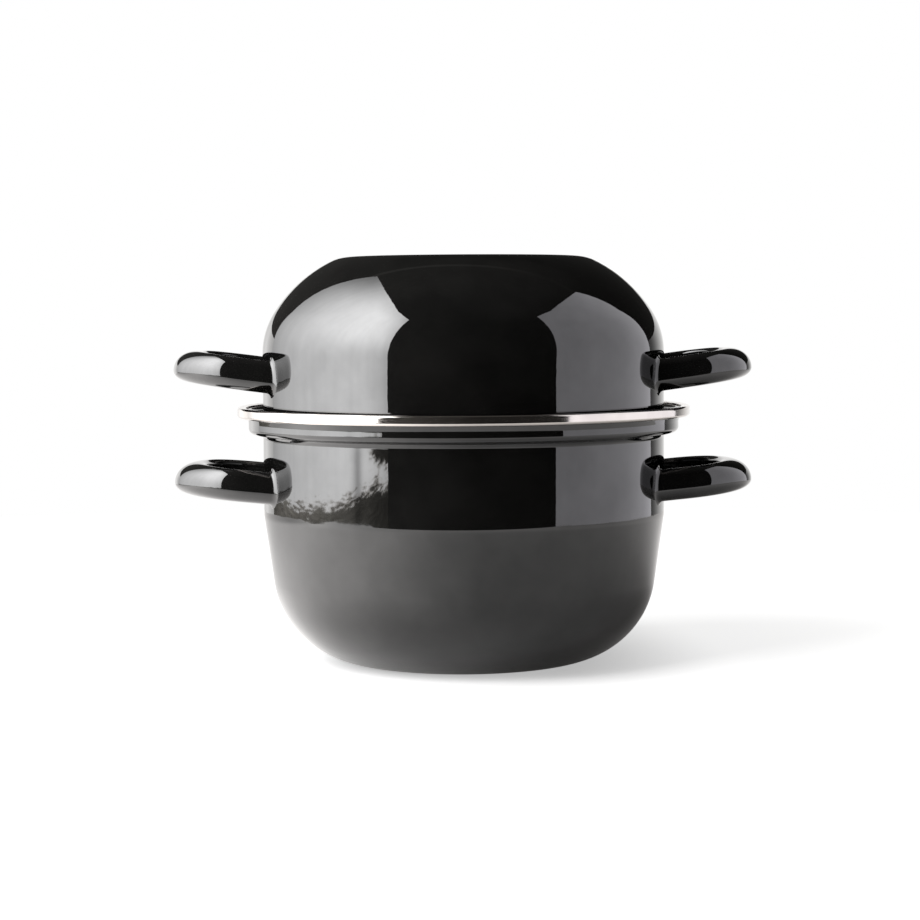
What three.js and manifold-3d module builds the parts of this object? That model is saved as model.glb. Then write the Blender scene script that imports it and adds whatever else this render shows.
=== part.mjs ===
// Mussel pot in enamelled steel: a round pot with a stepped collar, and a deep domed lid that drops into
// the collar and serves as a dish for the empty shells when it is turned over. Each of the two has a
// stainless trim on its edge and a pair of pressed strap handles welded to its wall.
// Millimetres, +Z up, origin at the centre of the base. The handles point along X.

import * as THREE from "three";
import { mergeVertices } from "three/addons/utils/BufferGeometryUtils.js";
import Module from "manifold-3d";

// Sheets and gaps
const SHEET = 1.2; // enamelled sheet of the pot and of the lid
const TRIM_SHEET = 0.6; // stainless band of both trims
const SEAT_GAP = 0.3; // from a piece to what it is fixed to or stands on
const LID_PLAY = 0.7; // around the lid in the collar

// Pot, all on its outer face
const WALL_RADIUS = 100;
const BASE_CURVE = 46.5; // radius from the flat base up into the wall
const TAPER = THREE.MathUtils.degToRad(8.1); // lean of the lower wall
const TAPER_TOP = 73.5; // height at which the lean ends
const TAPER_BLEND = 15; // radius between the leaning and the upright wall
const WALL_TOP = 111.6; // height at which the shoulder starts
const SHOULDER_FILLET = 2.8; // hollow under the shoulder
const LEDGE = 1.5; // flat of the shoulder, on which the lid stands
const SHOULDER_CORNER = 2.9; // round from the shoulder into the collar
const COLLAR = 2.5; // upright stretch above the shoulder
const COLLAR_RISE = 5.45; // height of the leaning stretch above that
const COLLAR_LEAN = THREE.MathUtils.degToRad(6); // outwards
const COLLAR_BLEND = 6; // radius between the two stretches
const FLANGE_BEND = 0.8;
const FLANGE = 3.33; // lip that the pot's trim grips, from the collar to its edge

// Trims, on their outer faces
const POT_TRIM_HEIGHT = 5.2;
const POT_TRIM_STAND = 1.6; // from the flange's edge to its face
const POT_TRIM_CROWN = THREE.MathUtils.degToRad(8); // slope of its top, down towards the pot's inside
const POT_TRIM_ROUND = 1.4; // upper edge
const POT_TRIM_CORNER = 1.5; // lower edge
const LID_TRIM_CORNER = 1;

// Lid, all on its outer face
const LIP_FLAT = 2.4; // flat lip that the lid's trim grips
const LID_FLARE = 2; // hollow from the lip up into the wall
const LID_WALL = 33.8; // upright stretch of the wall
const DOME_FOOT = 38.6; // radius from the wall into the dome
const DOME_LEAN = THREE.MathUtils.degToRad(33); // of the dome where that radius ends
const DOME_CURVE = 70.6; // radius of the dome from there up
const CROWN_SLOPE = THREE.MathUtils.degToRad(26); // of the dome where the edge of the flat top starts
const CROWN_EDGE = 20; // radius between the dome and the flat top

// Handles
const HANDLE_REACH = 44.2; // from the wall to the tip
const HANDLE_LEG = 8.5; // straight stretch of that, before the bow
const HANDLE_WIDTH = 78; // across the feet
const HANDLE_SHEET = 1.6;
const STRAP_HEIGHT = 15.8;
const BELLY_FOOT = 6; // height of the strap's outermost line above its lower edge, at the wall
const BELLY_TIP = 4.2; // and at the tip of the bow
const LOWER_TUCK = 6.5; // how far the lower edge is rolled in
const TOP_LEAN_FOOT = 4.5; // how far the ridge lies inside the outermost line at the wall
const TOP_LEAN_TIP = 14; // and at the tip of the bow
const RIDGE_HOLLOW = 0.7; // inner radius of the bend along the ridge
const INNER_DROP = 5; // height of the turned-down inner edge below that bend
const WELD_FLARE = 1.8; // growth of the strap's skin at the weld
const WELD_LENGTH = 4; // over which the skin grows
const POT_HANDLE_HEIGHT = 81.7; // of the strap's lower edge at the wall, above the base
const LID_HANDLE_HEIGHT = 20; // the same, above the lid's lower edge
const POT_HANDLE_RISE = THREE.MathUtils.degToRad(5.5); // slope of the strap up to its tip
const LID_HANDLE_RISE = THREE.MathUtils.degToRad(7.5);

// Fineness of the facets
const SEGMENTS = 48; // around the pot
const CHORD_GAP = 0.25; // largest distance from an arc of a profile to its chords
const BOW_STEPS = 8; // from a handle's foot to its tip
const LOWER_STEPS = 2; // round the strap's lower edge
const UPPER_STEPS = 3; // over the strap's back
const RIDGE_STEPS = 2; // round the bend along the ridge

const QUARTER = Math.PI / 2;

// Sizes that follow from the ones above
const collarRadius = WALL_RADIUS + SHOULDER_FILLET + LEDGE + SHOULDER_CORNER;
const ledgeTop = WALL_TOP + SHOULDER_FILLET + SHEET;
const leanFoot = WALL_TOP + SHOULDER_FILLET + SHOULDER_CORNER + COLLAR; // height at which the collar starts to lean
const flangeRoot = collarRadius + COLLAR_RISE * Math.tan(COLLAR_LEAN);
const flangeSetback = FLANGE_BEND * Math.tan((QUARTER - COLLAR_LEAN) / 2); // from the flange's root to its flat
const flangeTop = leanFoot + COLLAR_RISE + SHEET;
const trimGrip = SEAT_GAP + TRIM_SHEET; // from a gripped lip to the outer face of its trim
const lidRimRadius = collarRadius - SHEET - LID_PLAY;
const lipStart = lidRimRadius - trimGrip - LIP_FLAT;
const lipTop = trimGrip + SHEET; // above the lid's lower edge
const lidWallRadius = lipStart - LID_FLARE;

const enamel = new THREE.MeshStandardMaterial({ color: 0x0b0b0d, roughness: 0.08, metalness: 0 });
const stainless = new THREE.MeshStandardMaterial({ color: 0xc9c6c0, roughness: 0.18, metalness: 1 });

const wasm = await Module();
wasm.setup();

// How many chords an arc of a radius and an angle takes.
function chordCount(radius, angle) {
  const step = 2 * Math.acos(1 - Math.min(CHORD_GAP / radius, 1));
  return Math.ceil(angle / step);
}

// A smooth line in the plane of radius and height, with the normals on its left.
class Profile {
  constructor(radius, height, heading) {
    this.at = new THREE.Vector2(radius, height);
    this.heading = heading; // 0 runs outwards, a quarter turn runs up
    this.points = [];
    this.normals = [];
    this.mark();
  }

  mark() {
    this.points.push(this.at.clone());
    this.normals.push(new THREE.Vector2(-Math.sin(this.heading), Math.cos(this.heading)));
  }

  forward(length) {
    this.at.x += length * Math.cos(this.heading);
    this.at.y += length * Math.sin(this.heading);
    this.mark();
    return this;
  }

  // An arc through an angle: a positive angle turns left, a negative one right.
  turn(radius, angle) {
    const steps = chordCount(radius, Math.abs(angle));
    const chord = 2 * radius * Math.sin(Math.abs(angle) / steps / 2);
    for (let i = 0; i < steps; i++) {
      const along = this.heading + angle / steps / 2;
      this.at.x += chord * Math.cos(along);
      this.at.y += chord * Math.sin(along);
      this.heading += angle / steps;
      this.mark();
    }
    return this;
  }

  // The same line moved sideways, to the left where the distance is positive.
  offset(distance) {
    return this.points.map((p, i) => p.clone().addScaledVector(this.normals[i], distance));
  }
}

// A solid of revolution about Z, from an outline of radius and height.
function revolve(outline) {
  const points = THREE.ShapeUtils.area(outline) < 0 ? [...outline].reverse() : outline;
  return new THREE.LatheGeometry(points, SEGMENTS).rotateX(QUARTER);
}

// A sheet that follows a profile, with its thickness on the profile's left, or right if it is negative.
// A sheet that starts on the axis stays open there, and any other closes on itself.
function revolvedSheet(profile, thickness) {
  const outline = [...profile.points, ...profile.offset(thickness).reverse()];
  const onAxis = profile.points[0].x === 0;
  return revolve(onAxis ? outline : [...outline, outline[0].clone()]);
}

// The filled form inside a profile that starts on the axis, grown sideways by a distance.
function filledForm(profile, grow) {
  const skin = profile.offset(grow);
  return revolve([...skin, new THREE.Vector2(0, skin.at(-1).y)]);
}

// Flat base, round edge, leaning and upright wall, shoulder, collar and flange.
function potProfile() {
  const climb = (TAPER_TOP - BASE_CURVE) * Math.sin(TAPER);
  const baseRadius = WALL_RADIUS - (BASE_CURVE + climb) / Math.cos(TAPER);
  const blend = TAPER_BLEND * Math.tan(TAPER / 2);
  const curveTop = BASE_CURVE * (1 - Math.sin(TAPER));
  const lean = (TAPER_TOP - curveTop) / Math.cos(TAPER);
  const leanBlend = COLLAR_BLEND * Math.tan(COLLAR_LEAN / 2);
  return new Profile(0, 0, 0)
    .forward(baseRadius)
    .turn(BASE_CURVE, QUARTER - TAPER)
    .forward(lean - blend)
    .turn(TAPER_BLEND, TAPER)
    .forward(WALL_TOP - TAPER_TOP - blend)
    .turn(SHOULDER_FILLET, -QUARTER)
    .forward(LEDGE)
    .turn(SHOULDER_CORNER, QUARTER)
    .forward(COLLAR - leanBlend)
    .turn(COLLAR_BLEND, -COLLAR_LEAN)
    .forward(COLLAR_RISE / Math.cos(COLLAR_LEAN) - leanBlend - flangeSetback)
    .turn(FLANGE_BEND, COLLAR_LEAN - QUARTER)
    .forward(FLANGE - flangeSetback);
}

// Flat top, rounded edge, dome, upright wall, and a lip flared out at the lower edge.
function lidProfile() {
  const flat = lidWallRadius
    - DOME_FOOT * (1 - Math.cos(DOME_LEAN))
    - DOME_CURVE * (Math.cos(DOME_LEAN) - Math.sin(CROWN_SLOPE))
    - CROWN_EDGE * Math.sin(CROWN_SLOPE);
  const domeTop = DOME_FOOT * Math.sin(DOME_LEAN)
    + DOME_CURVE * (Math.cos(CROWN_SLOPE) - Math.sin(DOME_LEAN))
    + CROWN_EDGE * (1 - Math.cos(CROWN_SLOPE));
  return new Profile(0, lipTop + LID_FLARE + LID_WALL + domeTop, 0)
    .forward(flat)
    .turn(CROWN_EDGE, -CROWN_SLOPE)
    .turn(DOME_CURVE, CROWN_SLOPE + DOME_LEAN - QUARTER)
    .turn(DOME_FOOT, -DOME_LEAN)
    .forward(LID_WALL)
    .turn(LID_FLARE, QUARTER)
    .forward(LIP_FLAT);
}

// A trim runs out over the lip that it grips, from a place and at a slope, down a flat face of a radius,
// and back below the lip to another radius.
function trimProfile(from, crown, radius, upper, height, lower, to) {
  return new Profile(from.x, from.y, crown)
    .forward((radius - upper * (1 + Math.sin(crown)) - from.x) / Math.cos(crown))
    .turn(upper, -QUARTER - crown)
    .forward(height - upper - lower)
    .turn(lower, -QUARTER)
    .forward(radius - lower - to);
}

// The pot's trim stands down below the flange, and runs back to the collar.
function potTrimProfile() {
  const from = new THREE.Vector2(
    flangeRoot + flangeSetback,
    flangeTop + SEAT_GAP + TRIM_SHEET * Math.cos(POT_TRIM_CROWN));
  const radius = flangeRoot + FLANGE + POT_TRIM_STAND;
  const inset = POT_TRIM_ROUND * (1 + Math.sin(POT_TRIM_CROWN));
  const climb = (radius - inset - from.x) * Math.tan(POT_TRIM_CROWN);
  const top = from.y + climb + POT_TRIM_ROUND * (1 - Math.cos(POT_TRIM_CROWN));
  const to = collarRadius + (top - POT_TRIM_HEIGHT - leanFoot) * Math.tan(COLLAR_LEAN) + SEAT_GAP;
  return trimProfile(from, POT_TRIM_CROWN, radius, POT_TRIM_ROUND, POT_TRIM_HEIGHT, POT_TRIM_CORNER, to);
}

// The lid's trim is folded close round the lip.
function lidTrimProfile() {
  const height = lipTop + trimGrip;
  const from = new THREE.Vector2(lipStart, height);
  return trimProfile(from, 0, lidRimRadius, LID_TRIM_CORNER, height, LID_TRIM_CORNER, lipStart);
}

// The places across the strap, in order round its section: each gives how far in from the bow's
// outermost line and how high above the lower edge it lies, at a depth inside the strap's outer skin.
// The rolled lower edge and the back are quarter ellipses that meet at the belly.
function strapSection(lean, belly) {
  const ridgeBend = HANDLE_SHEET + RIDGE_HOLLOW;
  const back = STRAP_HEIGHT - belly;
  const places = [];
  for (let i = 0; i <= LOWER_STEPS; i++) {
    const angle = QUARTER * (1 - i / LOWER_STEPS);
    places.push((depth) => new THREE.Vector2(
      LOWER_TUCK - (LOWER_TUCK - depth) * Math.cos(angle),
      belly - (belly - depth) * Math.sin(angle)));
  }
  for (let i = 1; i <= UPPER_STEPS; i++) {
    const angle = (QUARTER * i) / UPPER_STEPS;
    places.push((depth) => new THREE.Vector2(
      lean - (lean - depth) * Math.cos(angle),
      belly + (back - depth) * Math.sin(angle)));
  }
  for (let i = 1; i <= RIDGE_STEPS; i++) {
    const angle = (QUARTER * i) / RIDGE_STEPS;
    places.push((depth) => new THREE.Vector2(
      lean + (ridgeBend - depth) * Math.sin(angle),
      STRAP_HEIGHT - ridgeBend + (ridgeBend - depth) * Math.cos(angle)));
  }
  places.push((depth) => new THREE.Vector2(
    lean + ridgeBend - depth,
    STRAP_HEIGHT - ridgeBend - INNER_DROP));
  return places;
}

// Stations along a bow from foot to foot: a place in plan, the way inwards, and the ridge's lean and the
// belly's height there. The bow is half an ellipse, and each leg runs straight on into the wall.
function bowStations(wallRadius) {
  const halfWidth = HANDLE_WIDTH / 2;
  const depth = HANDLE_REACH - HANDLE_LEG;
  const bow = Array.from({ length: 2 * BOW_STEPS + 1 }, (_, i) => {
    const angle = (QUARTER * i) / BOW_STEPS;
    const slope = new THREE.Vector2(Math.sin(angle) / depth, Math.cos(angle) / halfWidth);
    const x = wallRadius + HANDLE_LEG + depth * Math.sin(angle);
    return {
      place: new THREE.Vector2(x, halfWidth * Math.cos(angle)),
      inward: slope.normalize().negate(),
      lean: TOP_LEAN_FOOT + (TOP_LEAN_TIP - TOP_LEAN_FOOT) * Math.sin(angle) ** 2,
      belly: BELLY_FOOT + (BELLY_TIP - BELLY_FOOT) * Math.sin(angle) ** 4,
    };
  });
  const footX = Math.sqrt(wallRadius ** 2 - halfWidth ** 2);
  const roots = [footX - LOWER_TUCK, footX, footX + WELD_LENGTH / 2];
  const leg = (station) => roots.map((x) => ({ ...station, place: new THREE.Vector2(x, station.place.y) }));
  return [...leg(bow[0]), ...bow, ...leg(bow.at(-1)).reverse()];
}

// How much the strap's skin has grown towards the weld, at a distance from the wall.
function weldGrowth(distance) {
  const share = THREE.MathUtils.clamp(1 - distance / WELD_LENGTH, 0, 1);
  return WELD_FLARE * share * share;
}

// A closed loop round the strap's sheet at one station: along its outer skin, then back along the inner.
function strapLoop(station, wallRadius, height, rise) {
  const inPlan = (point) => station.place.clone().addScaledVector(station.inward, point.x);
  const inSpace = (point) => {
    const plan = inPlan(point);
    const lift = (plan.x - wallRadius) * Math.tan(rise);
    return new THREE.Vector3(plan.x, plan.y, height + point.y + lift);
  };
  const section = strapSection(station.lean, station.belly);
  const outer = section.map((place) => {
    const fromWall = inPlan(place(0)).length() - wallRadius;
    return inSpace(place(-weldGrowth(fromWall)));
  });
  const inner = section.map((place) => inSpace(place(HANDLE_SHEET)));
  return [...outer, ...inner.reverse()];
}

// A closed skin over loops of equal length. Each end cap is a strip between the two halves of its loop.
function loftedGeometry(loops) {
  const around = loops[0].length;
  const index = [];
  for (let i = 0; i + 1 < loops.length; i++) {
    for (let j = 0; j < around; j++) {
      const a = i * around + j;
      const b = i * around + ((j + 1) % around);
      index.push(a, b, a + around, b, b + around, a + around);
    }
  }
  const last = (loops.length - 1) * around;
  for (let j = 0; j + 1 < around / 2; j++) {
    const k = around - 1 - j;
    index.push(j, k, j + 1, k, k - 1, j + 1);
    index.push(last + j, last + j + 1, last + k, last + k, last + j + 1, last + k - 1);
  }
  const positions = loops.flat().flatMap((p) => p.toArray());
  return new THREE.BufferGeometry()
    .setAttribute("position", new THREE.Float32BufferAttribute(positions, 3))
    .setIndex(index);
}

function toSolid(geometry) {
  const bare = geometry.clone();
  bare.deleteAttribute("normal");
  bare.deleteAttribute("uv");
  const merged = mergeVertices(bare);
  const mesh = new wasm.Mesh({
    numProp: 3,
    vertProperties: new Float32Array(merged.attributes.position.array),
    triVerts: new Uint32Array(merged.index.array),
  });
  return new wasm.Manifold(mesh);
}

function toGeometry(solid) {
  const mesh = solid.getMesh();
  const geometry = new THREE.BufferGeometry()
    .setAttribute("position", new THREE.BufferAttribute(mesh.vertProperties, 3))
    .setIndex(new THREE.BufferAttribute(mesh.triVerts, 1));
  geometry.computeVertexNormals();
  return geometry;
}

// A strap handle on the +X side, with its feet shaped to the outer form that it is welded to.
function handleGeometry(wallRadius, height, rise, wallForm) {
  const loops = bowStations(wallRadius).map((station) => strapLoop(station, wallRadius, height, rise));
  return toGeometry(toSolid(loftedGeometry(loops)).subtract(toSolid(wallForm)));
}

function named(name, geometry, material) {
  const mesh = new THREE.Mesh(geometry, material.clone());
  mesh.name = name;
  return mesh;
}

function handlePair(owner, geometry) {
  const right = named(`${owner}_handle_right`, geometry, enamel);
  const left = named(`${owner}_handle_left`, geometry, enamel);
  left.rotation.z = Math.PI;
  return [left, right];
}

function buildPot() {
  const profile = potProfile();
  const form = filledForm(profile, -SEAT_GAP);
  const handle = handleGeometry(WALL_RADIUS, POT_HANDLE_HEIGHT, POT_HANDLE_RISE, form);
  const pot = new THREE.Group();
  pot.add(named("pot_body", revolvedSheet(profile, SHEET), enamel));
  pot.add(named("pot_rim_trim", revolvedSheet(potTrimProfile(), -TRIM_SHEET), stainless));
  pot.add(...handlePair("pot", handle));
  return pot;
}

function buildLid() {
  const profile = lidProfile();
  const form = filledForm(profile, SEAT_GAP);
  const handle = handleGeometry(lidWallRadius, LID_HANDLE_HEIGHT, LID_HANDLE_RISE, form);
  const lid = new THREE.Group();
  lid.add(named("lid_body", revolvedSheet(profile, -SHEET), enamel));
  lid.add(named("lid_rim_trim", revolvedSheet(lidTrimProfile(), -TRIM_SHEET), stainless));
  lid.add(...handlePair("lid", handle));
  lid.position.z = ledgeTop + SEAT_GAP;
  return lid;
}

const musselPot = new THREE.Group();
musselPot.add(buildPot(), buildLid());

export default musselPot;
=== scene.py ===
"""Mussel pot in black enamelled steel: the pot, its domed lid, their stainless trims and the strap handles.

Lengths are in metres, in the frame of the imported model: +Z up, the origin at the centre of the base, the
handles along X and the viewer on the -Y side.
"""

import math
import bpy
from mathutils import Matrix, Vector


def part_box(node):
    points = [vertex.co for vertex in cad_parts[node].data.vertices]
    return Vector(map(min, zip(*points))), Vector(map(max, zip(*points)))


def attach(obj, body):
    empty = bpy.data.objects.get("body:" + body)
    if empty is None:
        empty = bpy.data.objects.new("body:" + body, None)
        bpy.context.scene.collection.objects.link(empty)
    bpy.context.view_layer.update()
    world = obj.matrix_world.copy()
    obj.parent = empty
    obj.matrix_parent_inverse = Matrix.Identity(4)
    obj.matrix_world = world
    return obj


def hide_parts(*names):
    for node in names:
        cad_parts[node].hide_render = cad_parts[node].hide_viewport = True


bl_info = {
    "name": "Mussel Pot",
    "version": (1, 0, 0),
    "blender": (4, 5, 0),
    "location": "View3D > Sidebar > Mussel Pot",
    "description": "Models an enamelled mussel pot with its lid, trims and handles, and a plain studio",
    "category": "Add Mesh",
}

import bpy
from bpy.props import FloatProperty, FloatVectorProperty, PointerProperty
from mathutils import Matrix, Vector

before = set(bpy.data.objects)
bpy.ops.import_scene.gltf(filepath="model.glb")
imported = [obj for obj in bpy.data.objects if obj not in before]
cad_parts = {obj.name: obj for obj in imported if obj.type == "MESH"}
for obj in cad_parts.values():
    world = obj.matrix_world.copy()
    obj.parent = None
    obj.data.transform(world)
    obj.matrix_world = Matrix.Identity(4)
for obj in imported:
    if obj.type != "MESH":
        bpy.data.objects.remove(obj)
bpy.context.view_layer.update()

QUARTER = math.pi / 2

# Heights that the imported model gives
POT_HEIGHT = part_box("pot_body")[1].z
LID_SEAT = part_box("lid_rim_trim")[0].z
LID_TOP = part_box("lid_body")[1].z

# Fineness of the meshes
ROUND_STEPS = 240  # round the pot
ARC_STEP = math.radians(3)  # along an arc of an outline
SUPPORT = 0.0003  # short step at each end of a straight stretch, which keeps its shading flat
BOW_STEPS = 110  # along a handle
STRAP_STEPS = 64  # across a handle's strap
EDGE_STEPS = 3  # round a strap's cut edge
MERGE = 1e-6  # distance under which points become one
SHARP = math.radians(50)  # angle above which an edge counts as sharp


def number_property(name, description, default):
    return FloatProperty(name=name, description=description, default=default)


def length_property(name, description, default):
    return FloatProperty(name=name, description=description, default=default, unit="LENGTH", precision=4)


def angle_property(name, description, degrees):
    return FloatProperty(name=name, description=description, default=math.radians(degrees), subtype="ANGLE")


def colour_property(name, description, default):
    return FloatVectorProperty(
        name=name, description=description, default=default, size=3, min=0.0, max=1.0, subtype="COLOR"
    )


class PotSizes(bpy.types.PropertyGroup):
    """Sizes of the pot, all on its outer face."""

    sheet: length_property("Sheet", "Thickness of the enamelled sheet", 0.0012)
    wall_radius: length_property("Wall radius", "Radius of the upright wall", 0.1)
    base_curve: length_property("Base curve", "Radius from the flat base up into the wall", 0.0465)
    taper: angle_property("Taper", "Lean of the lower wall", 8.1)
    taper_top: length_property("Taper top", "Height at which the lean ends", 0.0735)
    taper_blend: length_property("Taper blend", "Radius between the leaning and the upright wall", 0.015)
    wall_top: length_property("Wall top", "Height at which the shoulder starts", 0.1116)
    shoulder_fillet: length_property("Shoulder fillet", "Radius of the hollow under the shoulder", 0.0028)
    ledge: length_property("Ledge", "Flat of the shoulder, on which the lid stands", 0.0015)
    shoulder_corner: length_property("Shoulder corner", "Radius from the shoulder into the collar", 0.0029)
    collar: length_property("Collar", "Upright stretch above the shoulder", 0.0025)
    collar_lean: angle_property("Collar lean", "Outward lean of the collar above that", 6)
    collar_blend: length_property("Collar blend", "Radius between the upright and the leaning collar", 0.006)
    flange_bend: length_property("Flange bend", "Radius from the collar into the flange", 0.0008)
    flange: length_property("Flange", "Lip that the trim grips, from the collar to its edge", 0.00333)


class LidSizes(bpy.types.PropertyGroup):
    """Sizes of the lid, all on its outer face."""

    sheet: length_property("Sheet", "Thickness of the enamelled sheet", 0.0012)
    wall_radius: length_property("Wall radius", "Radius of the upright wall", 0.1)
    lip_height: length_property("Lip height", "Upper face of the lip above the lid's lower edge", 0.0021)
    lip_flat: length_property("Lip flat", "Flat lip that the trim grips", 0.0024)
    flare: length_property("Flare", "Radius of the hollow from the lip up into the wall", 0.002)
    dome_foot: length_property("Dome foot", "Radius from the wall into the dome", 0.0386)
    dome_lean: angle_property("Dome lean", "Lean of the dome where that radius ends", 33)
    dome_curve: length_property("Dome curve", "Radius of the dome from there up", 0.0706)
    crown_slope: angle_property("Crown slope", "Slope of the dome where the flat top's edge starts", 26)
    crown_edge: length_property("Crown edge", "Radius between the dome and the flat top", 0.02)


class TrimSizes(bpy.types.PropertyGroup):
    """Sizes of the stainless trims."""

    sheet: length_property("Sheet", "Thickness of the band", 0.0006)
    gap: length_property("Gap", "From a gripped lip to the inside of its trim", 0.0003)
    pot_height: length_property("Pot trim height", "Height of the pot's trim", 0.0052)
    pot_stand: length_property("Pot trim stand", "From the flange's edge to the trim's face", 0.0016)
    pot_crown: angle_property("Pot trim crown", "Slope of the top, down towards the pot's inside", 8)
    pot_round: length_property("Pot trim round", "Radius of the upper edge of the pot's trim", 0.0014)
    pot_corner: length_property("Pot trim corner", "Radius of the lower edge of the pot's trim", 0.0015)
    lid_corner: length_property("Lid trim corner", "Radius of the edges of the lid's trim", 0.001)


class HandleSizes(bpy.types.PropertyGroup):
    """Sizes of the strap handles."""

    reach: length_property("Reach", "From the wall to the tip", 0.0442)
    leg: length_property("Leg", "Straight stretch of that, before the bow", 0.0085)
    width: length_property("Width", "Across the feet", 0.078)
    sheet: length_property("Sheet", "Thickness of the strap", 0.0016)
    height: length_property("Height", "Height of the strap", 0.0158)
    belly_foot: length_property("Belly at the foot", "Height of the outermost line, at the wall", 0.006)
    belly_tip: length_property("Belly at the tip", "Height of the outermost line, at the tip", 0.0042)
    tuck: length_property("Tuck", "How far the lower edge is rolled in", 0.0065)
    lean_foot: length_property("Lean at the foot", "From the belly in to the ridge, at the wall", 0.0045)
    lean_tip: length_property("Lean at the tip", "From the belly in to the ridge, at the tip", 0.014)
    ridge: length_property("Ridge", "Radius of the bend along the ridge", 0.0023)
    inner_drop: length_property("Inner drop", "Height of the turned-down inner edge", 0.005)
    weld: length_property("Weld", "Radius of the fillet at the feet", 0.0022)
    sink: length_property("Sink", "How deep the feet stand in the wall's sheet", 0.0005)
    edge: length_property("Edge", "Round on the strap's cut edges", 0.0005)
    pot_height: length_property("Height on the pot", "Lower edge at the wall, above the base", 0.0817)
    lid_height: length_property("Height on the lid", "Lower edge at the wall, above the lid's edge", 0.02)
    pot_rise: angle_property("Rise on the pot", "Slope of the strap up to its tip", 5.5)
    lid_rise: angle_property("Rise on the lid", "Slope of the strap up to its tip", 7.5)


class EnamelLook(bpy.types.PropertyGroup):
    """Finish of the black enamel."""

    dark: colour_property("Dark", "Darker tone of the enamel", (0.0032, 0.0032, 0.0031))
    light: colour_property("Light", "Lighter tone of the enamel's clouds", (0.006, 0.0059, 0.0056))
    cloud_scale: number_property("Cloud scale", "Fineness of the clouds", 42.0)
    refraction: number_property("Refraction", "Refractive index of the glaze", 1.56)
    ripple: length_property("Ripple", "Depth of the slow waves in the glaze", 0.000009)
    wave_scale: number_property("Wave scale", "Fineness of the slow waves", 95.0)
    streak: length_property("Streak", "Depth of the upright draw lines under the glaze", 0.000005)
    streak_scale: number_property("Streak scale", "Fineness of the draw lines", 350.0)
    streak_stretch: number_property("Streak stretch", "Fineness of the draw lines along Z, as a share", 0.3)


class SteelLook(bpy.types.PropertyGroup):
    """Finish of the stainless trims."""

    colour: colour_property("Colour", "Colour of the polished band", (0.47, 0.44, 0.415))
    worn: colour_property("Worn", "Colour where the polish is duller", (0.41, 0.38, 0.36))
    patch_scale: number_property("Patch scale", "Fineness of the duller patches", 60.0)
    brushing: length_property("Brushing", "Depth of the polishing lines", 0.0000015)
    line_scale: number_property("Line scale", "Fineness of the polishing lines", 5200.0)
    line_stretch: number_property("Line stretch", "Fineness of the lines along the band, as a share", 0.012)


class Studio(bpy.types.PropertyGroup):
    """Camera and light of the stage."""

    camera_side: length_property("Camera side", "Camera along X", -0.0019)
    camera_distance: length_property("Camera distance", "Camera in front of the pot's axis", 1.215)
    camera_height: length_property("Camera height", "Camera above the base", 0.1792)
    camera_pitch: angle_property("Camera pitch", "Downward tilt of the camera", 3.72)
    camera_roll: angle_property("Camera roll", "Turn of the camera about its view", -0.33)
    turn: angle_property("Turn", "Turn of the camera and the light about the pot's axis", -1.7)
    lens: number_property("Lens", "Focal length on a 36 mm sensor", 95.1)
    floor: colour_property("Floor", "Colour of the floor", (0.82, 0.82, 0.82))
    room: colour_property("Room", "Colour of the dim room that the glaze mirrors", (1.0, 0.97, 0.92))
    key_power: number_property("Key power", "Power of the left lamp in watts", 20.0)


class MusselPotSettings(bpy.types.PropertyGroup):
    """All the settings of the mussel pot."""

    pot: PointerProperty(type=PotSizes)
    lid: PointerProperty(type=LidSizes)
    trim: PointerProperty(type=TrimSizes)
    handle: PointerProperty(type=HandleSizes)
    enamel: PointerProperty(type=EnamelLook)
    steel: PointerProperty(type=SteelLook)
    studio: PointerProperty(type=Studio)


# Modelling helpers


class Outline:
    """A line drawn in the XZ plane by extruding one vertex, and then spun about Z."""

    def __init__(self, radius, height, heading=0.0):
        bpy.ops.object.select_all(action="DESELECT")
        bpy.ops.mesh.primitive_plane_add(size=SUPPORT)
        bpy.ops.object.mode_set(mode="EDIT")
        bpy.ops.mesh.select_all(action="SELECT")
        bpy.ops.mesh.merge(type="CENTER")
        bpy.ops.transform.translate(value=(radius, 0, height))
        self.heading = heading  # 0 runs outwards, a quarter turn runs up

    def step(self, length, heading):
        move = (length * math.cos(heading), 0, length * math.sin(heading))
        bpy.ops.mesh.extrude_region_move(TRANSFORM_OT_translate={"value": move})

    def forward(self, length):
        """A straight stretch, with a short step at each end."""
        short = min(SUPPORT, length / 4)
        for part in (short, length - 2 * short, short):
            self.step(part, self.heading)
        return self

    def turn(self, radius, angle):
        """An arc: a positive angle turns left, a negative one right."""
        steps = max(4, math.ceil(abs(angle) / ARC_STEP))
        chord = 2 * radius * math.sin(abs(angle) / steps / 2)
        for _ in range(steps):
            self.step(chord, self.heading + angle / steps / 2)
            self.heading += angle / steps
        return self

    def spin(self, name, thickness, flip=False):
        """A sheet of revolution, with its thickness on the inner side. A sheet whose outermost face has its
        inner side up is flipped."""
        bpy.ops.mesh.select_all(action="SELECT")
        bpy.ops.mesh.spin(steps=ROUND_STEPS, angle=math.tau, center=(0, 0, 0), axis=(0, 0, 1))
        bpy.ops.mesh.select_all(action="SELECT")
        bpy.ops.mesh.remove_doubles(threshold=MERGE)
        bpy.ops.mesh.normals_make_consistent(inside=flip)
        bpy.ops.object.mode_set(mode="OBJECT")
        piece = bpy.context.active_object
        piece.name = name
        thicken(piece, thickness)
        bpy.ops.object.shade_smooth_by_angle(angle=SHARP)
        return piece


def thicken(piece, thickness):
    wall = piece.modifiers.new("wall", "SOLIDIFY")
    wall.thickness = thickness
    wall.offset = -1
    wall.use_even_offset = True
    bpy.ops.object.modifier_apply(modifier=wall.name)


def finish_piece(piece, material, body, node):
    """Gives a piece its material, and puts it in the place of a node of the model."""
    piece.data.materials.clear()
    piece.data.materials.append(material)
    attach(piece, body)
    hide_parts(node)


# Pieces


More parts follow.
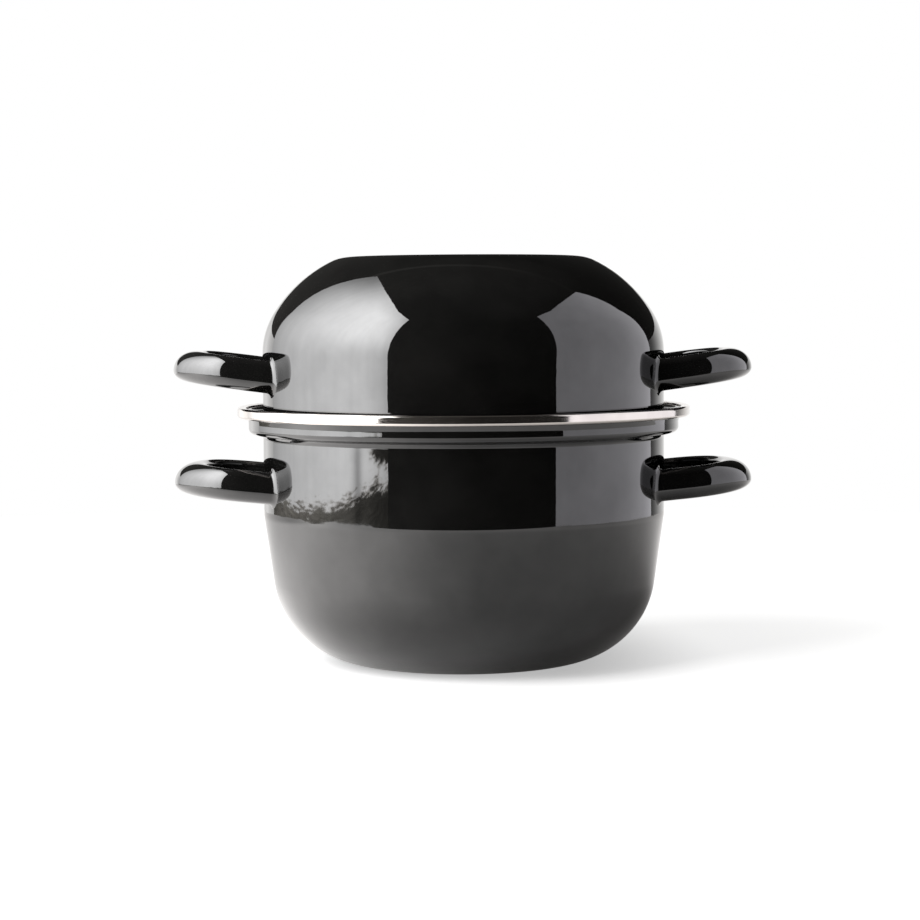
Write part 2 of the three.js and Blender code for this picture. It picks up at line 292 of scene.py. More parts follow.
def lean_foot(pot):
    """Height at which the collar starts to lean."""
    return pot.wall_top + pot.shoulder_fillet + pot.shoulder_corner + pot.collar


def collar_radius(pot, height):
    """Outer radius of the collar, at a height on its leaning stretch."""
    foot = pot.wall_radius + pot.shoulder_fillet + pot.ledge + pot.shoulder_corner
    return foot + (height - lean_foot(pot)) * math.tan(pot.collar_lean)


def flange_setback(pot):
    """From the corner where collar and flange would meet to the flange's flat."""
    return pot.flange_bend * math.tan((QUARTER - pot.collar_lean) / 2)


def draw_pot(pot):
    """Flat base, round edge, leaning and upright wall, shoulder, collar and flange."""
    climb = (pot.taper_top - pot.base_curve) * math.sin(pot.taper)
    base_radius = pot.wall_radius - (pot.base_curve + climb) / math.cos(pot.taper)
    blend = pot.taper_blend * math.tan(pot.taper / 2)
    curve_top = pot.base_curve * (1 - math.sin(pot.taper))
    lean = (pot.taper_top - curve_top) / math.cos(pot.taper)
    leaning = (POT_HEIGHT - pot.sheet - lean_foot(pot)) / math.cos(pot.collar_lean)
    lean_blend = pot.collar_blend * math.tan(pot.collar_lean / 2)
    setback = flange_setback(pot)
    outline = Outline(0, 0)
    outline.forward(base_radius)
    outline.turn(pot.base_curve, QUARTER - pot.taper)
    outline.forward(lean - blend)
    outline.turn(pot.taper_blend, pot.taper)
    outline.forward(pot.wall_top - pot.taper_top - blend)
    outline.turn(pot.shoulder_fillet, -QUARTER)
    outline.forward(pot.ledge)
    outline.turn(pot.shoulder_corner, QUARTER)
    outline.forward(pot.collar - lean_blend)
    outline.turn(pot.collar_blend, -pot.collar_lean)
    outline.forward(leaning - lean_blend - setback)
    outline.turn(pot.flange_bend, pot.collar_lean - QUARTER)
    outline.forward(pot.flange - setback)
    return outline


def draw_lid(lid):
    """Flat top, rounded edge, dome, upright wall, and a lip flared out at the lower edge."""
    lean, slope = lid.dome_lean, lid.crown_slope
    inset = lid.dome_foot * (1 - math.cos(lean))
    inset += lid.dome_curve * (math.cos(lean) - math.sin(slope))
    inset += lid.crown_edge * math.sin(slope)
    rise = lid.dome_foot * math.sin(lean)
    rise += lid.dome_curve * (math.cos(slope) - math.sin(lean))
    rise += lid.crown_edge * (1 - math.cos(slope))
    outline = Outline(0, LID_TOP)
    outline.forward(lid.wall_radius - inset)
    outline.turn(lid.crown_edge, -slope)
    outline.turn(lid.dome_curve, slope + lean - QUARTER)
    outline.turn(lid.dome_foot, -lean)
    outline.forward(LID_TOP - rise - lid.flare - lid.lip_height - LID_SEAT)
    outline.turn(lid.flare, QUARTER)
    outline.forward(lid.lip_flat)
    return outline


def draw_trim(start, top, crown, radius, upper, height, lower, back_to):
    """A band that runs out over a lip at a slope, down a flat face, and back below the lip to a radius."""
    outline = Outline(start, top, crown)
    outline.forward((radius - upper * (1 + math.sin(crown)) - start) / math.cos(crown))
    outline.turn(upper, -QUARTER - crown)
    outline.forward(height - upper - lower)
    outline.turn(lower, -QUARTER)
    outline.forward(radius - lower - back_to)
    return outline


def draw_pot_trim(pot, trim):
    crown, upper, height = trim.pot_crown, trim.pot_round, trim.pot_height
    flange_root = collar_radius(pot, POT_HEIGHT - pot.sheet)
    start = flange_root + flange_setback(pot)
    start_top = POT_HEIGHT + trim.gap + trim.sheet * math.cos(crown)
    radius = flange_root + pot.flange + trim.pot_stand
    climb = (radius - upper * (1 + math.sin(crown)) - start) * math.tan(crown)
    top = start_top + climb + upper * (1 - math.cos(crown))
    back_to = collar_radius(pot, top - height) + trim.gap
    return draw_trim(start, start_top, crown, radius, upper, height, trim.pot_corner, back_to)


def draw_lid_trim(lid, trim):
    grip = trim.gap + trim.sheet
    start = lid.wall_radius + lid.flare
    height = lid.lip_height + grip
    radius = start + lid.lip_flat + grip
    corner = trim.lid_corner
    return draw_trim(start, LID_SEAT + height, 0.0, radius, corner, height, corner, start)


class Strap:
    """The outer skin of a strap handle on the +X side, from its foot at -Y to its foot at +Y."""

    LOWER, BACK, RIDGE = 0.3, 0.72, 0.9  # shares of the way across at which the stretches end
    LEG = 0.2  # share of the way along that each straight leg takes

    def __init__(self, sizes, wall_radius, height, rise):
        self.sizes = sizes
        self.wall_radius = wall_radius
        self.height = height
        self.rise = rise

    def section(self, across, tip):
        """How far in from the bow and how high above the lower edge a place across the strap lies.
        The lower edge and the back are quarter ellipses that meet at the belly."""
        s = self.sizes
        lean = s.lean_foot + (s.lean_tip - s.lean_foot) * tip
        belly = s.belly_foot + (s.belly_tip - s.belly_foot) * tip ** 2
        if across < self.LOWER:
            angle = QUARTER * (1 - across / self.LOWER)
            return Vector((s.tuck * (1 - math.cos(angle)), belly * (1 - math.sin(angle))))
        if across < self.BACK:
            angle = QUARTER * (across - self.LOWER) / (self.BACK - self.LOWER)
            return Vector((lean * (1 - math.cos(angle)), belly + (s.height - belly) * math.sin(angle)))
        if across < self.RIDGE:
            angle = QUARTER * (across - self.BACK) / (self.RIDGE - self.BACK)
            return Vector((lean + s.ridge * math.sin(angle), s.height - s.ridge * (1 - math.cos(angle))))
        drop = s.inner_drop * (across - self.RIDGE) / (1 - self.RIDGE)
        return Vector((lean + s.ridge, s.height - s.ridge - drop))

    def skin_normal(self, across, tip):
        """Outward normal of the section."""
        near = 1e-4
        ahead = self.section(min(across + near, 1), tip)
        behind = self.section(max(across - near, 0), tip)
        along = (ahead - behind).normalized()
        return Vector((-along.y, along.x))

    def fillet(self, distance):
        """How far the skin has swollen towards the weld, at a distance from the wall."""
        radius = self.sizes.weld
        if distance >= radius:
            return 0.0
        rest = radius - max(distance, 0.0)
        return radius - math.sqrt(radius * radius - rest * rest)

    def lifted(self, x, y, z):
        return Vector((x, y, self.height + z + (x - self.wall_radius) * math.tan(self.rise)))

    def wall_x(self, inset):
        """Where a foot stands, just inside the wall's face, for a place so far in from the bow's side."""
        root = self.wall_radius - self.sizes.sink
        return math.sqrt(root ** 2 - (self.sizes.width / 2 - inset) ** 2)

    def leg_point(self, side, share, across):
        """A place on the straight leg at side -1 or +1: share 0 stands in the wall, share 1 meets the bow."""
        half = self.sizes.width / 2
        place = self.section(across, 0)
        out = (self.wall_radius + self.sizes.leg - self.wall_x(place.x)) * share ** 2
        swollen = place + self.skin_normal(across, 0) * self.fillet(out - self.sizes.sink)
        return self.lifted(self.wall_x(swollen.x) + out, side * (half - swollen.x), swollen.y)

    def bow_point(self, angle, across):
        """A place on the bow, half an ellipse in plan: the angle runs from -90 to +90 degrees."""
        half = self.sizes.width / 2
        depth = self.sizes.reach - self.sizes.leg
        place = self.section(across, math.cos(angle) ** 2)
        inward = Vector((math.cos(angle) / depth, math.sin(angle) / half)).normalized()
        x = self.wall_radius + self.sizes.leg + depth * math.cos(angle) - inward.x * place.x
        y = half * math.sin(angle) - inward.y * place.x
        return self.lifted(x, y, place.y)

    def point(self, along, across):
        if along < self.LEG:
            return self.leg_point(-1, along / self.LEG, across)
        if along > 1 - self.LEG:
            return self.leg_point(1, (1 - along) / self.LEG, across)
        angle = math.pi * ((along - self.LEG) / (1 - 2 * self.LEG) - 0.5)
        return self.bow_point(angle, across)


def make_handle(name, strap):
    """A grid laid over the strap, thickened inwards, with its cut edges rounded."""
    bpy.ops.object.select_all(action="DESELECT")
    bpy.ops.mesh.primitive_grid_add(x_subdivisions=BOW_STEPS, y_subdivisions=STRAP_STEPS, size=1)
    piece = bpy.context.active_object
    piece.name = name
    for vertex in piece.data.vertices:
        vertex.co = strap.point(vertex.co.x + 0.5, vertex.co.y + 0.5)
    thicken(piece, strap.sizes.sheet)
    round_edges = piece.modifiers.new("round_edges", "BEVEL")
    round_edges.width = strap.sizes.edge
    round_edges.segments = EDGE_STEPS
    round_edges.limit_method = "ANGLE"
    round_edges.angle_limit = SHARP
    bpy.ops.object.modifier_apply(modifier=round_edges.name)
    bpy.ops.object.shade_smooth_by_angle(angle=SHARP)
    return piece


def turn_copy(piece, name):
    """A copy of a piece, turned half round about the pot's axis, with its own mesh."""
    bpy.ops.object.select_all(action="DESELECT")
    piece.select_set(True)
    bpy.context.view_layer.objects.active = piece
    bpy.ops.object.duplicate()
    copy = bpy.context.active_object
    copy.name = name
    bpy.ops.transform.rotate(value=math.pi, orient_axis="Z", center_override=(0, 0, 0))
    bpy.ops.object.transform_apply(location=True, rotation=True, scale=True)
    return copy


# Materials

NOISE_SPAN = (0.3, 0.7)  # usual span of a noise
TONE_SPAN = (0.35, 0.65)  # span of the clouds over which the enamel goes from dark to light
WEAR_SPAN = (0.45, 0.75)  # span of the patches over which the steel goes from bright to dull
SHARE = (0.0, 1.0)
ENAMEL_ROUGHNESS = (0.012, 0.03)
ENAMEL_SHINE = (0.45, 0.55)  # of its mirror images, where 0.5 is what its refraction gives
STEEL_ROUGHNESS = (0.07, 0.13)


class Nodes:
    """The node tree of a material or a world, with short ways to add and join nodes."""

    def __init__(self, owner, output="ShaderNodeOutputMaterial"):
        self.owner = owner
        owner.use_nodes = True
        self.tree = owner.node_tree
        self.tree.nodes.clear()
        self.output = self.tree.nodes.new(output)

    def add(self, kind, settings=None, **inputs):
        """Adds a node. An input takes a value or another node's output; _ stands for a space in its name."""
        node = self.tree.nodes.new(kind)
        for key, value in (settings or {}).items():
            setattr(node, key, value)
        for key, value in inputs.items():
            self.feed(node.inputs[key.replace("_", " ")], value)
        return node

    def feed(self, socket, value):
        if isinstance(value, bpy.types.NodeSocket):
            self.tree.links.new(value, socket)
        else:
            socket.default_value = value

    def math(self, operation, first, second=0.0):
        node = self.add("ShaderNodeMath", {"operation": operation})
        self.feed(node.inputs[0], first)
        self.feed(node.inputs[1], second)
        return node.outputs["Value"]

    def sum(self, first, second):
        return self.math("ADD", first, second)

    def difference(self, first, second):
        return self.math("SUBTRACT", first, second)

    def product(self, first, *others):
        for other in others:
            first = self.math("MULTIPLY", first, other)
        return first

    def coordinates(self, kind="Object"):
        return self.add("ShaderNodeTexCoord").outputs[kind]

    def axes(self, kind="Object"):
        """The X, Y and Z of the coordinates."""
        return self.add("ShaderNodeSeparateXYZ", Vector=self.coordinates(kind)).outputs

    def place(self, scale=(1, 1, 1)):
        """Object coordinates, stretched."""
        return self.add("ShaderNodeMapping", Vector=self.coordinates(), Scale=scale).outputs["Vector"]

    def distance(self, scale=(1, 1, 1)):
        """Distance from the origin, in stretched coordinates."""
        length = self.add("ShaderNodeVectorMath", {"operation": "LENGTH"}, Vector=self.place(scale))
        return length.outputs["Value"]

    def noise(self, vector, scale, detail=2.0, roughness=0.5):
        node = self.add("ShaderNodeTexNoise", Vector=vector, Scale=scale, Detail=detail, Roughness=roughness)
        return node.outputs["Fac"]

    def spread(self, value, span, levels):
        """An even slope between two levels, over a span of the value."""
        node = self.add("ShaderNodeMapRange", Value=value)
        for key, limit in zip(("From Min", "From Max", "To Min", "To Max"), (*span, *levels)):
            node.inputs[key].default_value = limit
        return node.outputs["Result"]

    def ease(self, value, span, levels):
        """A smooth step between two levels, over a span of the value."""
        stepped = self.spread(value, span, levels)
        stepped.node.interpolation_type = "SMOOTHSTEP"
        return stepped

    def bell(self, value, centre, width):
        """A bell curve that is 1 at its centre."""
        away = self.math("DIVIDE", self.difference(value, centre), width)
        return self.math("EXPONENT", self.product(away, away, -0.5))

    def blend(self, share, first, second):
        """A colour between two colours: a share of 0 gives the first, and 1 the second."""
        node = self.add("ShaderNodeMix", {"data_type": "RGBA"})
        for index, value in ((0, share), (6, first), (7, second)):
            self.feed(node.inputs[index], value)
        return node.outputs[2]

    def surface(self, shader):
        self.tree.links.new(shader, self.output.inputs["Surface"])
        return self.owner

    def light(self, colour, level):
        """A surface that only shines, and isn't sampled as a lamp."""
        self.owner.cycles.emission_sampling = "NONE"
        shader = self.add("ShaderNodeEmission", Color=colour, Strength=level)
        return self.surface(shader.outputs["Emission"])


def material_nodes(name):
    return Nodes(bpy.data.materials.new(name))


def with_alpha(colour):
    return (*colour, 1.0)


def enamel_material(look):
    """Black glaze: faint clouds of tone, gloss and shine, slow waves, and upright draw lines under it."""
    nodes = material_nodes("glossy_enamel")
    clouds = nodes.noise(nodes.place(), look.cloud_scale, detail=5.0, roughness=0.6)
    tone = nodes.spread(clouds, TONE_SPAN, SHARE)
    waves = nodes.noise(nodes.place(), look.wave_scale)
    streaks = nodes.noise(nodes.place((1.0, 1.0, look.streak_stretch)), look.streak_scale)
    wavy = nodes.add("ShaderNodeBump", Height=waves, Distance=look.ripple)
    streaky = nodes.add("ShaderNodeBump", Height=streaks, Distance=look.streak, Normal=wavy.outputs["Normal"])
    shader = nodes.add(
        "ShaderNodeBsdfPrincipled",
        Base_Color=nodes.blend(tone, with_alpha(look.dark), with_alpha(look.light)),
        Roughness=nodes.spread(clouds, NOISE_SPAN, ENAMEL_ROUGHNESS),
        Specular_IOR_Level=nodes.spread(clouds, NOISE_SPAN, ENAMEL_SHINE),
        IOR=look.refraction,
        Normal=streaky.outputs["Normal"],
    )
    return nodes.surface(shader.outputs["BSDF"])


def steel_material(look):
    """Polished stainless band: fine lines that run round it, and duller patches."""
    nodes = material_nodes("polished_steel")
    patches = nodes.noise(nodes.place(), look.patch_scale, detail=4.0)
    wear = nodes.spread(patches, WEAR_SPAN, SHARE)
    stretch = look.line_stretch
    lines = nodes.noise(nodes.place((stretch, stretch, 1.0)), look.line_scale, detail=3.0)
    brushed = nodes.add("ShaderNodeBump", Height=lines, Distance=look.brushing)
    shader = nodes.add(
        "ShaderNodeBsdfPrincipled",
        Base_Color=nodes.blend(wear, with_alpha(look.colour), with_alpha(look.worn)),
        Metallic=1.0,
        Roughness=nodes.spread(lines, NOISE_SPAN, STEEL_ROUGHNESS),
        Normal=brushed.outputs["Normal"],
    )
    return nodes.surface(shader.outputs["BSDF"])


def shared_material(name, make, look):
    return bpy.data.materials.get(name) or make(look)


def enamel():
    return shared_material("glossy_enamel", enamel_material, bpy.context.scene.mussel_pot.enamel)


def steel():
    return shared_material("polished_steel", steel_material, bpy.context.scene.mussel_pot.steel)


# Stage

WHITE = (1.0, 1.0, 1.0, 1.0)
KEY_PLACE, KEY_SIZE = (-0.84, -0.5, 0.62), 1.0
SENSOR_WIDTH = 36.0  # mm

# Each panel has two lower and two upper corners
LEFT_CORNERS = [(-0.9, -1.007, -0.3), (-0.9, 0.9, -0.3), (-0.9, -1.1, 1.74), (-0.9, 0.98, 2.12)]
RIGHT_CORNERS = [(0.9, -0.772, -0.3), (0.9, 0.8, -0.3), (0.9, -0.62, 1.4), (0.9, 0.44, 1.33)]
BACK_CORNERS = [(-2.0, 1.5, -0.5), (2.0, 1.5, -0.5), (-2.0, 1.5, 0.4), (2.0, 1.5, 0.4)]
CEILING_CORNERS = [(-0.65, 0.655, 1.5), (1.0, 0.415, 1.5), (-0.65, 0.735, 1.5), (1.0, 0.495, 1.5)]

# Below, a slope or a step is a span and the levels at its ends, and a bell is its centre and its width

# Floor
FLOOR_RADIUS, FLOOR_SIDE, FLOOR_FRONT = 0.905, -0.015, -0.58  # the front is cut straight
PAINTED_LIGHT_COLOUR = (1.0, 0.97, 0.955, 1.0)  # colour of its painted light in mirror images
GRAIN_SCALE, GRAIN_DEPTH = 700.0, 0.00002  # of its paper
PAINTED_SHADE_STRETCH = (1.0, 0.55, 1.0)  # the painted shade round the pot reaches further to the front and the back
WHITE_UNDER = (0.05, 0.14), (0.46, 0.83)  # steps by that stretched distance of the floor's glow, as the camera sees it: lower near the pot, a painted shade
WHITE_ROUND = (0.12, 0.35), (0.0, 0.17)
PAINTED_LIGHT_SIDE = (-0.2, 0.045), (2.18, 0.0)  # painted window light in mirror images: step along X
PAINTED_LIGHT_FRONT = -0.066, 0.162  # bell along Y of that painted light
PAINTED_LIGHT_FAR = (0.095, 0.5), (0.134, 0.9)  # painted light in mirror images, in steps by the distance
# painted shade under the pot, in mirror images
PAINTED_SHADE_UNDER = (0.055, 0.094), (0.31, 1.0)

# Left window
WINDOW_SKY, WINDOW_LEAVES = (1.0, 1.0, 1.005, 1.0), (1.0, 0.95, 0.85, 1.0)  # colours
WINDOW_DIM, WINDOW_GAIN = 1.1, 13.0  # light all over it, and how much more there is in its bright part
WINDOW_BRIGHT = -0.5, 0.62  # bell along Y
WINDOW_FOOT = (0.0, 0.75), (0.66, 1.0)  # steps along Z
WINDOW_TOP = (1.2, 1.9), (1.0, 0.75)
FOLD_STRETCH, FOLD_LEVELS = (1.0, 16.0, 1.3), (0.965, 1.035)
POST = -0.54, 0.04  # bell along Y
POST_TOP = (0.045, 0.075), (0.5, 0.0)  # step along Z
LEAF_STRETCH = (1.0, 8.0, 340.0)
LEAF_FRONT = (-1.1, -0.7), (-0.004, 0.0125)  # steps of the leaves' height along Y
LEAF_BACK = (-0.1, 0.5), (0.0, 0.008)
LEAF_CROWN = (-0.022, 0.022), (0.1, 0.9)  # slope along Z, from dense leaves to none
LEAF_EDGE = (-0.09, 0.1), SHARE  # step from a leaf to the sky
LEAF_SHADE = (-0.95, 0.5), (0.03, 0.22)  # step of the leaves' light along Y
LEAF_LEVELS = (0.4, 1.6)
BRANCH_WIDTH, BRANCH_COVER = 0.0115, 0.8
BRANCH_HEIGHT = (-1.02, -0.52), (0.033, 0.057)  # slope along Y
BRANCH_END = (-0.95, -0.5), (1.0, 0.0)  # step along Y

# Right panel, backdrop, edge of the ceiling and room
SIDE_COLOUR, SIDE_LEVEL, SIDE_UNEVEN = (0.995, 0.98, 1.03, 1.0), 1.9, 0.08
SIDE_SCALE, SIDE_SPAN = 3.0, (0.2, 0.8)  # noise of the unevenness
BACK_COLOUR = (1.0, 0.99, 0.98, 1.0)
BACK_LEFT = (-0.9, -0.5), (1.75, 1.1)  # steps along X
BACK_RIGHT = (0.7, 1.7), (1.0, 0.22)
CEILING_COLOUR = (1.0, 0.97, 0.92, 1.0)
CEILING_FADE = (-0.5, 0.8), (0.16, 0.06)  # step along X
ROOM_SIDE = (-1.0, 0.1), (0.115, 0.027)  # slope along X
ROOM_TOP = (0.7, 1.0), (0.0, 0.062)  # slope along Z


def stage_panel(name, corners, material):
    """A panel between two lower and two upper corners. It isn't part of the object."""
    bpy.ops.object.select_all(action="DESELECT")
    bpy.ops.mesh.primitive_grid_add(x_subdivisions=2, y_subdivisions=2, size=1)
    panel = bpy.context.active_object
    panel.name = name
    low_start, low_end, high_start, high_end = (Vector(corner) for corner in corners)
    for vertex in panel.data.vertices:
        across, along = vertex.co.x + 0.5, vertex.co.y + 0.5
        vertex.co = low_start.lerp(low_end, across).lerp(high_start.lerp(high_end, across), along)
    panel.data.materials.append(material)
    return panel


def stage_floor(material):
    """A round panel, flat on the ground and cut straight in front. It isn't part of the object."""
    bpy.ops.object.select_all(action="DESELECT")
    bpy.ops.mesh.primitive_circle_add(vertices=ROUND_STEPS, radius=FLOOR_RADIUS, fill_type="NGON")
    floor = bpy.context.active_object
    floor.name = "floor"
    for vertex in floor.data.vertices:
        vertex.co.x += FLOOR_SIDE
        vertex.co.y = max(vertex.co.y, FLOOR_FRONT)
    floor.data.materials.append(material)
    return floor


def floor_white_with_painted_shade(nodes):
    """How white the floor glows to the camera: less so under and near the pot, a painted shade added to the
    lamp's shadow.
    """
    shaded = nodes.distance(PAINTED_SHADE_STRETCH)
    return nodes.sum(nodes.ease(shaded, *WHITE_UNDER), nodes.ease(shaded, *WHITE_ROUND))


def painted_floor_light_and_shade(nodes):
    """How much the floor glows in mirror images: painted light, most on the window's side, and painted shade
    under the pot.
    """
    parts = nodes.axes()
    distance = nodes.distance()
    painted_window_light = nodes.product(nodes.ease(parts["X"], *PAINTED_LIGHT_SIDE), nodes.bell(parts["Y"], *PAINTED_LIGHT_FRONT))
    shine = nodes.sum(painted_window_light, nodes.ease(distance, *PAINTED_LIGHT_FAR))
    return nodes.product(shine, nodes.ease(distance, *PAINTED_SHADE_UNDER))


def floor_material(studio):
    """Pale floor with the lamp's shadow under the pot. Its glow makes it white to the camera away from the
    pot, with a painted shade near the pot, and in mirror images the glow is painted light on the window's
    side and painted shade under the pot."""
    nodes = material_nodes("floor")
    rays = nodes.add("ShaderNodeLightPath").outputs
    mirrored = nodes.math("MAXIMUM", rays["Is Glossy Ray"], rays["Is Transmission Ray"])
    # Painted shade: the camera sees less glow near the pot
    seen = nodes.product(floor_white_with_painted_shade(nodes), rays["Is Camera Ray"])
    # Painted light and painted shade of the floor in mirror images
    strength = nodes.sum(seen, nodes.product(painted_floor_light_and_shade(nodes), mirrored))
    grain = nodes.noise(nodes.coordinates(), GRAIN_SCALE, detail=3.0)
    paper = nodes.add("ShaderNodeBump", Height=grain, Distance=GRAIN_DEPTH)
    matt = nodes.add("ShaderNodeBsdfDiffuse", Color=with_alpha(studio.floor), Normal=paper.outputs["Normal"])
    glow = nodes.add("ShaderNodeEmission", Color=nodes.blend(mirrored, WHITE, PAINTED_LIGHT_COLOUR), Strength=strength)
    both = nodes.add("ShaderNodeAddShader")
    nodes.feed(both.inputs[0], matt.outputs["BSDF"])
    nodes.feed(both.inputs[1], glow.outputs["Emission"])
    return nodes.surface(both.outputs["Shader"])


def window_level(nodes, along, up):
    """Light of the window without its leaves: brightest towards the front and half-way up, with soft folds,
    and dimmed where a post stands in it."""
    level = nodes.sum(nodes.product(nodes.bell(along, *WINDOW_BRIGHT), WINDOW_GAIN), WINDOW_DIM)
    foot = nodes.ease(up, *WINDOW_FOOT)
    top = nodes.ease(up, *WINDOW_TOP)
    waves = nodes.noise(nodes.place(FOLD_STRETCH), 1.0, detail=4.0)
    folds = nodes.spread(waves, NOISE_SPAN, FOLD_LEVELS)
    post = nodes.product(nodes.bell(along, *POST), nodes.ease(up, *POST_TOP))
    return nodes.product(level, foot, top, folds, nodes.difference(1.0, post))


def window_clear(nodes, along, up, leaves):
    """Where no leaves are: they cover the window's foot, and a branch hangs into its front edge."""
    hanging = nodes.difference(up, nodes.spread(along, *BRANCH_HEIGHT))
    branch = nodes.product(nodes.ease(along, *BRANCH_END), nodes.bell(hanging, 0.0, BRANCH_WIDTH))
    height = nodes.difference(nodes.ease(along, *LEAF_FRONT), nodes.ease(along, *LEAF_BACK))
    crown = nodes.spread(nodes.difference(up, height), *LEAF_CROWN)
    edge = nodes.difference(crown, nodes.product(branch, BRANCH_COVER))
    return nodes.ease(nodes.difference(edge, leaves), *LEAF_EDGE)


def window_material():
    """The left window, with leaves in front of it."""
    nodes = material_nodes("window_light")
    parts = nodes.axes()
    along, up = parts["Y"], parts["Z"]
    leaves = nodes.noise(nodes.place(LEAF_STRETCH), 1.0, detail=5.0, roughness=0.65)
    clear = window_clear(nodes, along, up, leaves)
    uneven = nodes.spread(leaves, NOISE_SPAN, LEAF_LEVELS)
    shade = nodes.product(nodes.ease(along, *LEAF_SHADE), uneven)
    level = nodes.product(window_level(nodes, along, up), nodes.math("MAXIMUM", clear, shade))
    return nodes.light(nodes.blend(clear, WINDOW_LEAVES, WINDOW_SKY), level)


def side_material():
    """The right panel, a little uneven."""
    nodes = material_nodes("side_light")
    clouds = nodes.noise(nodes.place(), SIDE_SCALE)
    levels = (SIDE_LEVEL * (1 - SIDE_UNEVEN), SIDE_LEVEL * (1 + SIDE_UNEVEN))
    return nodes.light(SIDE_COLOUR, nodes.spread(clouds, SIDE_SPAN, levels))


def backdrop_material():
    """Pale backdrop, brighter on the window's side and dim far off on the other side."""
    nodes = material_nodes("backdrop_light")
    side = nodes.axes()["X"]
    level = nodes.product(nodes.ease(side, *BACK_LEFT), nodes.ease(side, *BACK_RIGHT))
    return nodes.light(BACK_COLOUR, level)


def ceiling_material():
    """Pale edge of the ceiling, fainter away from the window."""
    nodes = material_nodes("ceiling_light")
    return nodes.light(CEILING_COLOUR, nodes.ease(nodes.axes()["X"], *CEILING_FADE))


def mirrored_only(panel):
    """A panel that shows in mirror images alone."""
    panel.visible_camera = False
    panel.visible_diffuse = False
    panel.visible_shadow = False


def make_world(studio):
    """White to the camera, and a dim room, lighter on the left and overhead, to everything else."""
    world = bpy.data.worlds.new("studio")
    bpy.context.scene.world = world
    nodes = Nodes(world, "ShaderNodeOutputWorld")
    direction = nodes.axes("Generated")
    level = nodes.sum(nodes.spread(direction["X"], *ROOM_SIDE), nodes.spread(direction["Z"], *ROOM_TOP))
    room = nodes.add("ShaderNodeBackground", Color=with_alpha(studio.room), Strength=level)
    white = nodes.add("ShaderNodeBackground", Color=WHITE)
    rays = nodes.add("ShaderNodeLightPath").outputs
    mix = nodes.add("ShaderNodeMixShader", Fac=rays["Is Camera Ray"])
    nodes.feed(mix.inputs[1], room.outputs["Background"])
    nodes.feed(mix.inputs[2], white.outputs["Background"])
    nodes.surface(mix.outputs["Shader"])


def make_lamp(name, place, size, power):
    """A soft square lamp aimed at the pot. It shades, but shows in no mirror image."""
    bpy.ops.object.light_add(type="AREA", location=place)
    lamp = bpy.context.active_object
    lamp.name = name
    lamp.data.size = size
    lamp.data.energy = power
    lamp.rotation_euler = (Vector((0, 0, POT_HEIGHT)) - Vector(place)).to_track_quat("-Z", "Y").to_euler()
    lamp.visible_camera = False
    lamp.visible_glossy = False
    return lamp


def make_camera(studio):
    camera = bpy.data.cameras.new("camera")
    camera.lens = studio.lens
    camera.sensor_width = SENSOR_WIDTH
    camera_object = bpy.data.objects.new("camera", camera)
    bpy.context.scene.collection.objects.link(camera_object)
    tilt = Matrix.Rotation(QUARTER - studio.camera_pitch, 4, "X")
    roll = Matrix.Rotation(studio.camera_roll, 4, "Z")
    place = Matrix.Translation((studio.camera_side, -studio.camera_distance, studio.camera_height))
    camera_object.matrix_world = place @ tilt @ roll
    bpy.context.scene.camera = camera_object
    return camera_object


# Operators


class MakePotBody(bpy.types.Operator):
    """Model the enamelled pot"""

    bl_idname = "mussel_pot.make_pot_body"
    bl_label = "Pot Body"

    def execute(self, context):
        sizes = context.scene.mussel_pot.pot
        piece = draw_pot(sizes).spin("enamelled_pot", sizes.sheet, flip=True)
        finish_piece(piece, enamel(), "pot", "pot_body")
        return {"FINISHED"}


class MakeLidBody(bpy.types.Operator):
    """Model the enamelled lid"""

    bl_idname = "mussel_pot.make_lid_body"
    bl_label = "Lid Body"

    def execute(self, context):
        sizes = context.scene.mussel_pot.lid
        piece = draw_lid(sizes).spin("enamelled_lid", sizes.sheet)
        finish_piece(piece, enamel(), "lid", "lid_body")
        return {"FINISHED"}


class MakeTrims(bpy.types.Operator):
    """Model the stainless trims of the pot and the lid"""

    bl_idname = "mussel_pot.make_trims"
    bl_label = "Rim Trims"

    def execute(self, context):
        settings = context.scene.mussel_pot
        trim = settings.trim
        pot_trim = draw_pot_trim(settings.pot, trim).spin("pot_trim", trim.sheet)
        finish_piece(pot_trim, steel(), "pot", "pot_rim_trim")
        lid_trim = draw_lid_trim(settings.lid, trim).spin("lid_trim", trim.sheet)
        finish_piece(lid_trim, steel(), "lid", "lid_rim_trim")
        return {"FINISHED"}


class MakeHandles(bpy.types.Operator):
    """Model the strap handles of the pot and the lid"""

    bl_idname = "mussel_pot.make_handles"
    bl_label = "Handles"

    def execute(self, context):
        settings = context.scene.mussel_pot
        sizes = settings.handle
        lid_height = LID_SEAT + sizes.lid_height
        straps = {
            "pot": Strap(sizes, settings.pot.wall_radius, sizes.pot_height, sizes.pot_rise),
            "lid": Strap(sizes, settings.lid.wall_radius, lid_height, sizes.lid_rise),
        }
        for owner, strap in straps.items():
            right = make_handle(f"{owner}_strap_right", strap)
            left = turn_copy(right, f"{owner}_strap_left")
            finish_piece(right, enamel(), owner, f"{owner}_handle_right")
            finish_piece(left, enamel(), owner, f"{owner}_handle_left")
        return {"FINISHED"}


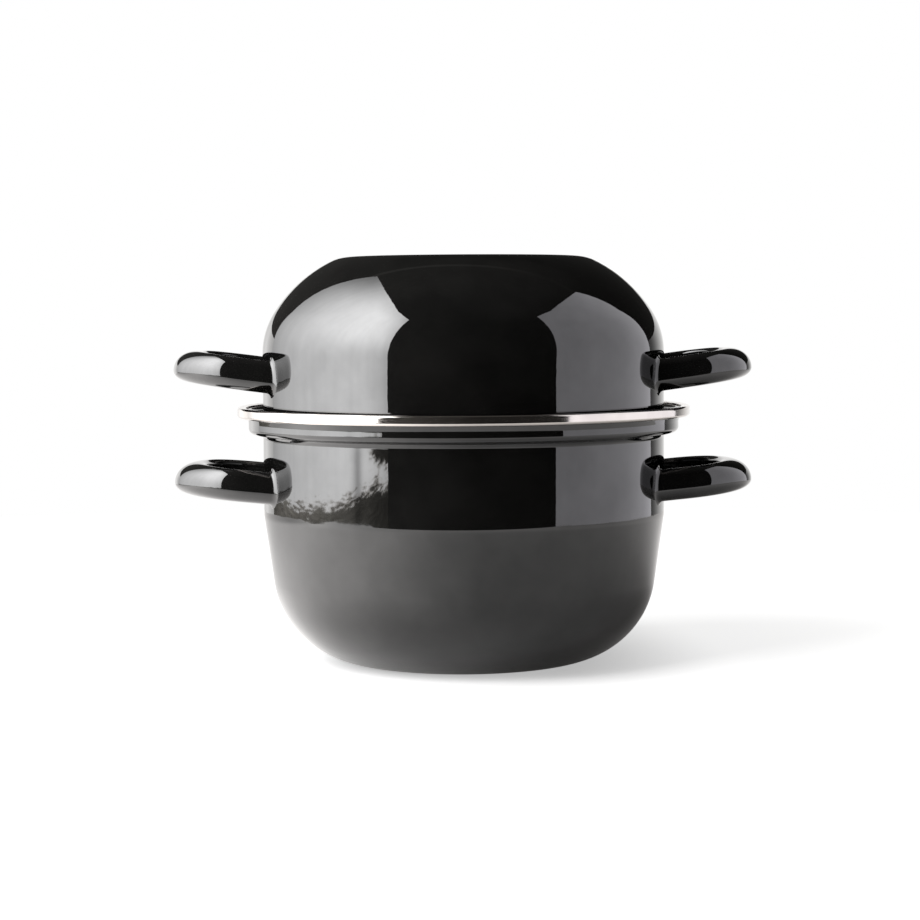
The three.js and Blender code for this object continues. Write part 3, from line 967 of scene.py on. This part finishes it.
class MakeStage(bpy.types.Operator):
    """Set up the floor, the light and the camera"""

    bl_idname = "mussel_pot.make_stage"
    bl_label = "Stage"

    def execute(self, context):
        studio = context.scene.mussel_pot.studio
        context.scene.view_settings.view_transform = "Standard"
        floor = stage_floor(floor_material(studio))
        left = stage_panel("left_window", LEFT_CORNERS, window_material())
        right = stage_panel("right_window", RIGHT_CORNERS, side_material())
        backdrop = stage_panel("backdrop", BACK_CORNERS, backdrop_material())
        ceiling = stage_panel("ceiling_edge", CEILING_CORNERS, ceiling_material())
        for panel in (left, right, backdrop, ceiling):
            mirrored_only(panel)
        lamp = make_lamp("key_lamp", KEY_PLACE, KEY_SIZE, studio.key_power)
        camera = make_camera(studio)
        context.view_layer.update()
        for thing in (floor, left, right, backdrop, ceiling, lamp, camera):
            thing.matrix_world = Matrix.Rotation(studio.turn, 4, "Z") @ thing.matrix_world
        make_world(studio)
        return {"FINISHED"}


class MusselPotPanel(bpy.types.Panel):
    """Sizes, finishes and makers of the mussel pot"""

    bl_idname = "VIEW3D_PT_mussel_pot"
    bl_label = "Mussel Pot"
    bl_space_type = "VIEW_3D"
    bl_region_type = "UI"
    bl_category = "Mussel Pot"

    def draw(self, context):
        settings = context.scene.mussel_pot
        for maker in MAKERS:
            self.layout.operator(maker.bl_idname)
        sizes = (settings.pot, settings.lid, settings.trim, settings.handle)
        looks = (settings.enamel, settings.steel)
        for group in (*sizes, *looks):
            box = self.layout.box()
            for name in group.__annotations__:
                box.prop(group, name)


MAKERS = (MakePotBody, MakeLidBody, MakeTrims, MakeHandles, MakeStage)
GROUPS = (PotSizes, LidSizes, TrimSizes, HandleSizes, EnamelLook, SteelLook, Studio, MusselPotSettings)


def register():
    for group in (*GROUPS, *MAKERS, MusselPotPanel):
        bpy.utils.register_class(group)
    bpy.types.Scene.mussel_pot = PointerProperty(type=MusselPotSettings)


def unregister():
    del bpy.types.Scene.mussel_pot
    for group in reversed((*GROUPS, *MAKERS, MusselPotPanel)):
        bpy.utils.unregister_class(group)


def main():
    register()
    bpy.ops.mussel_pot.make_pot_body()
    bpy.ops.mussel_pot.make_lid_body()
    bpy.ops.mussel_pot.make_trims()
    bpy.ops.mussel_pot.make_handles()
    bpy.ops.mussel_pot.make_stage()


if __name__ == "__main__":
    main()
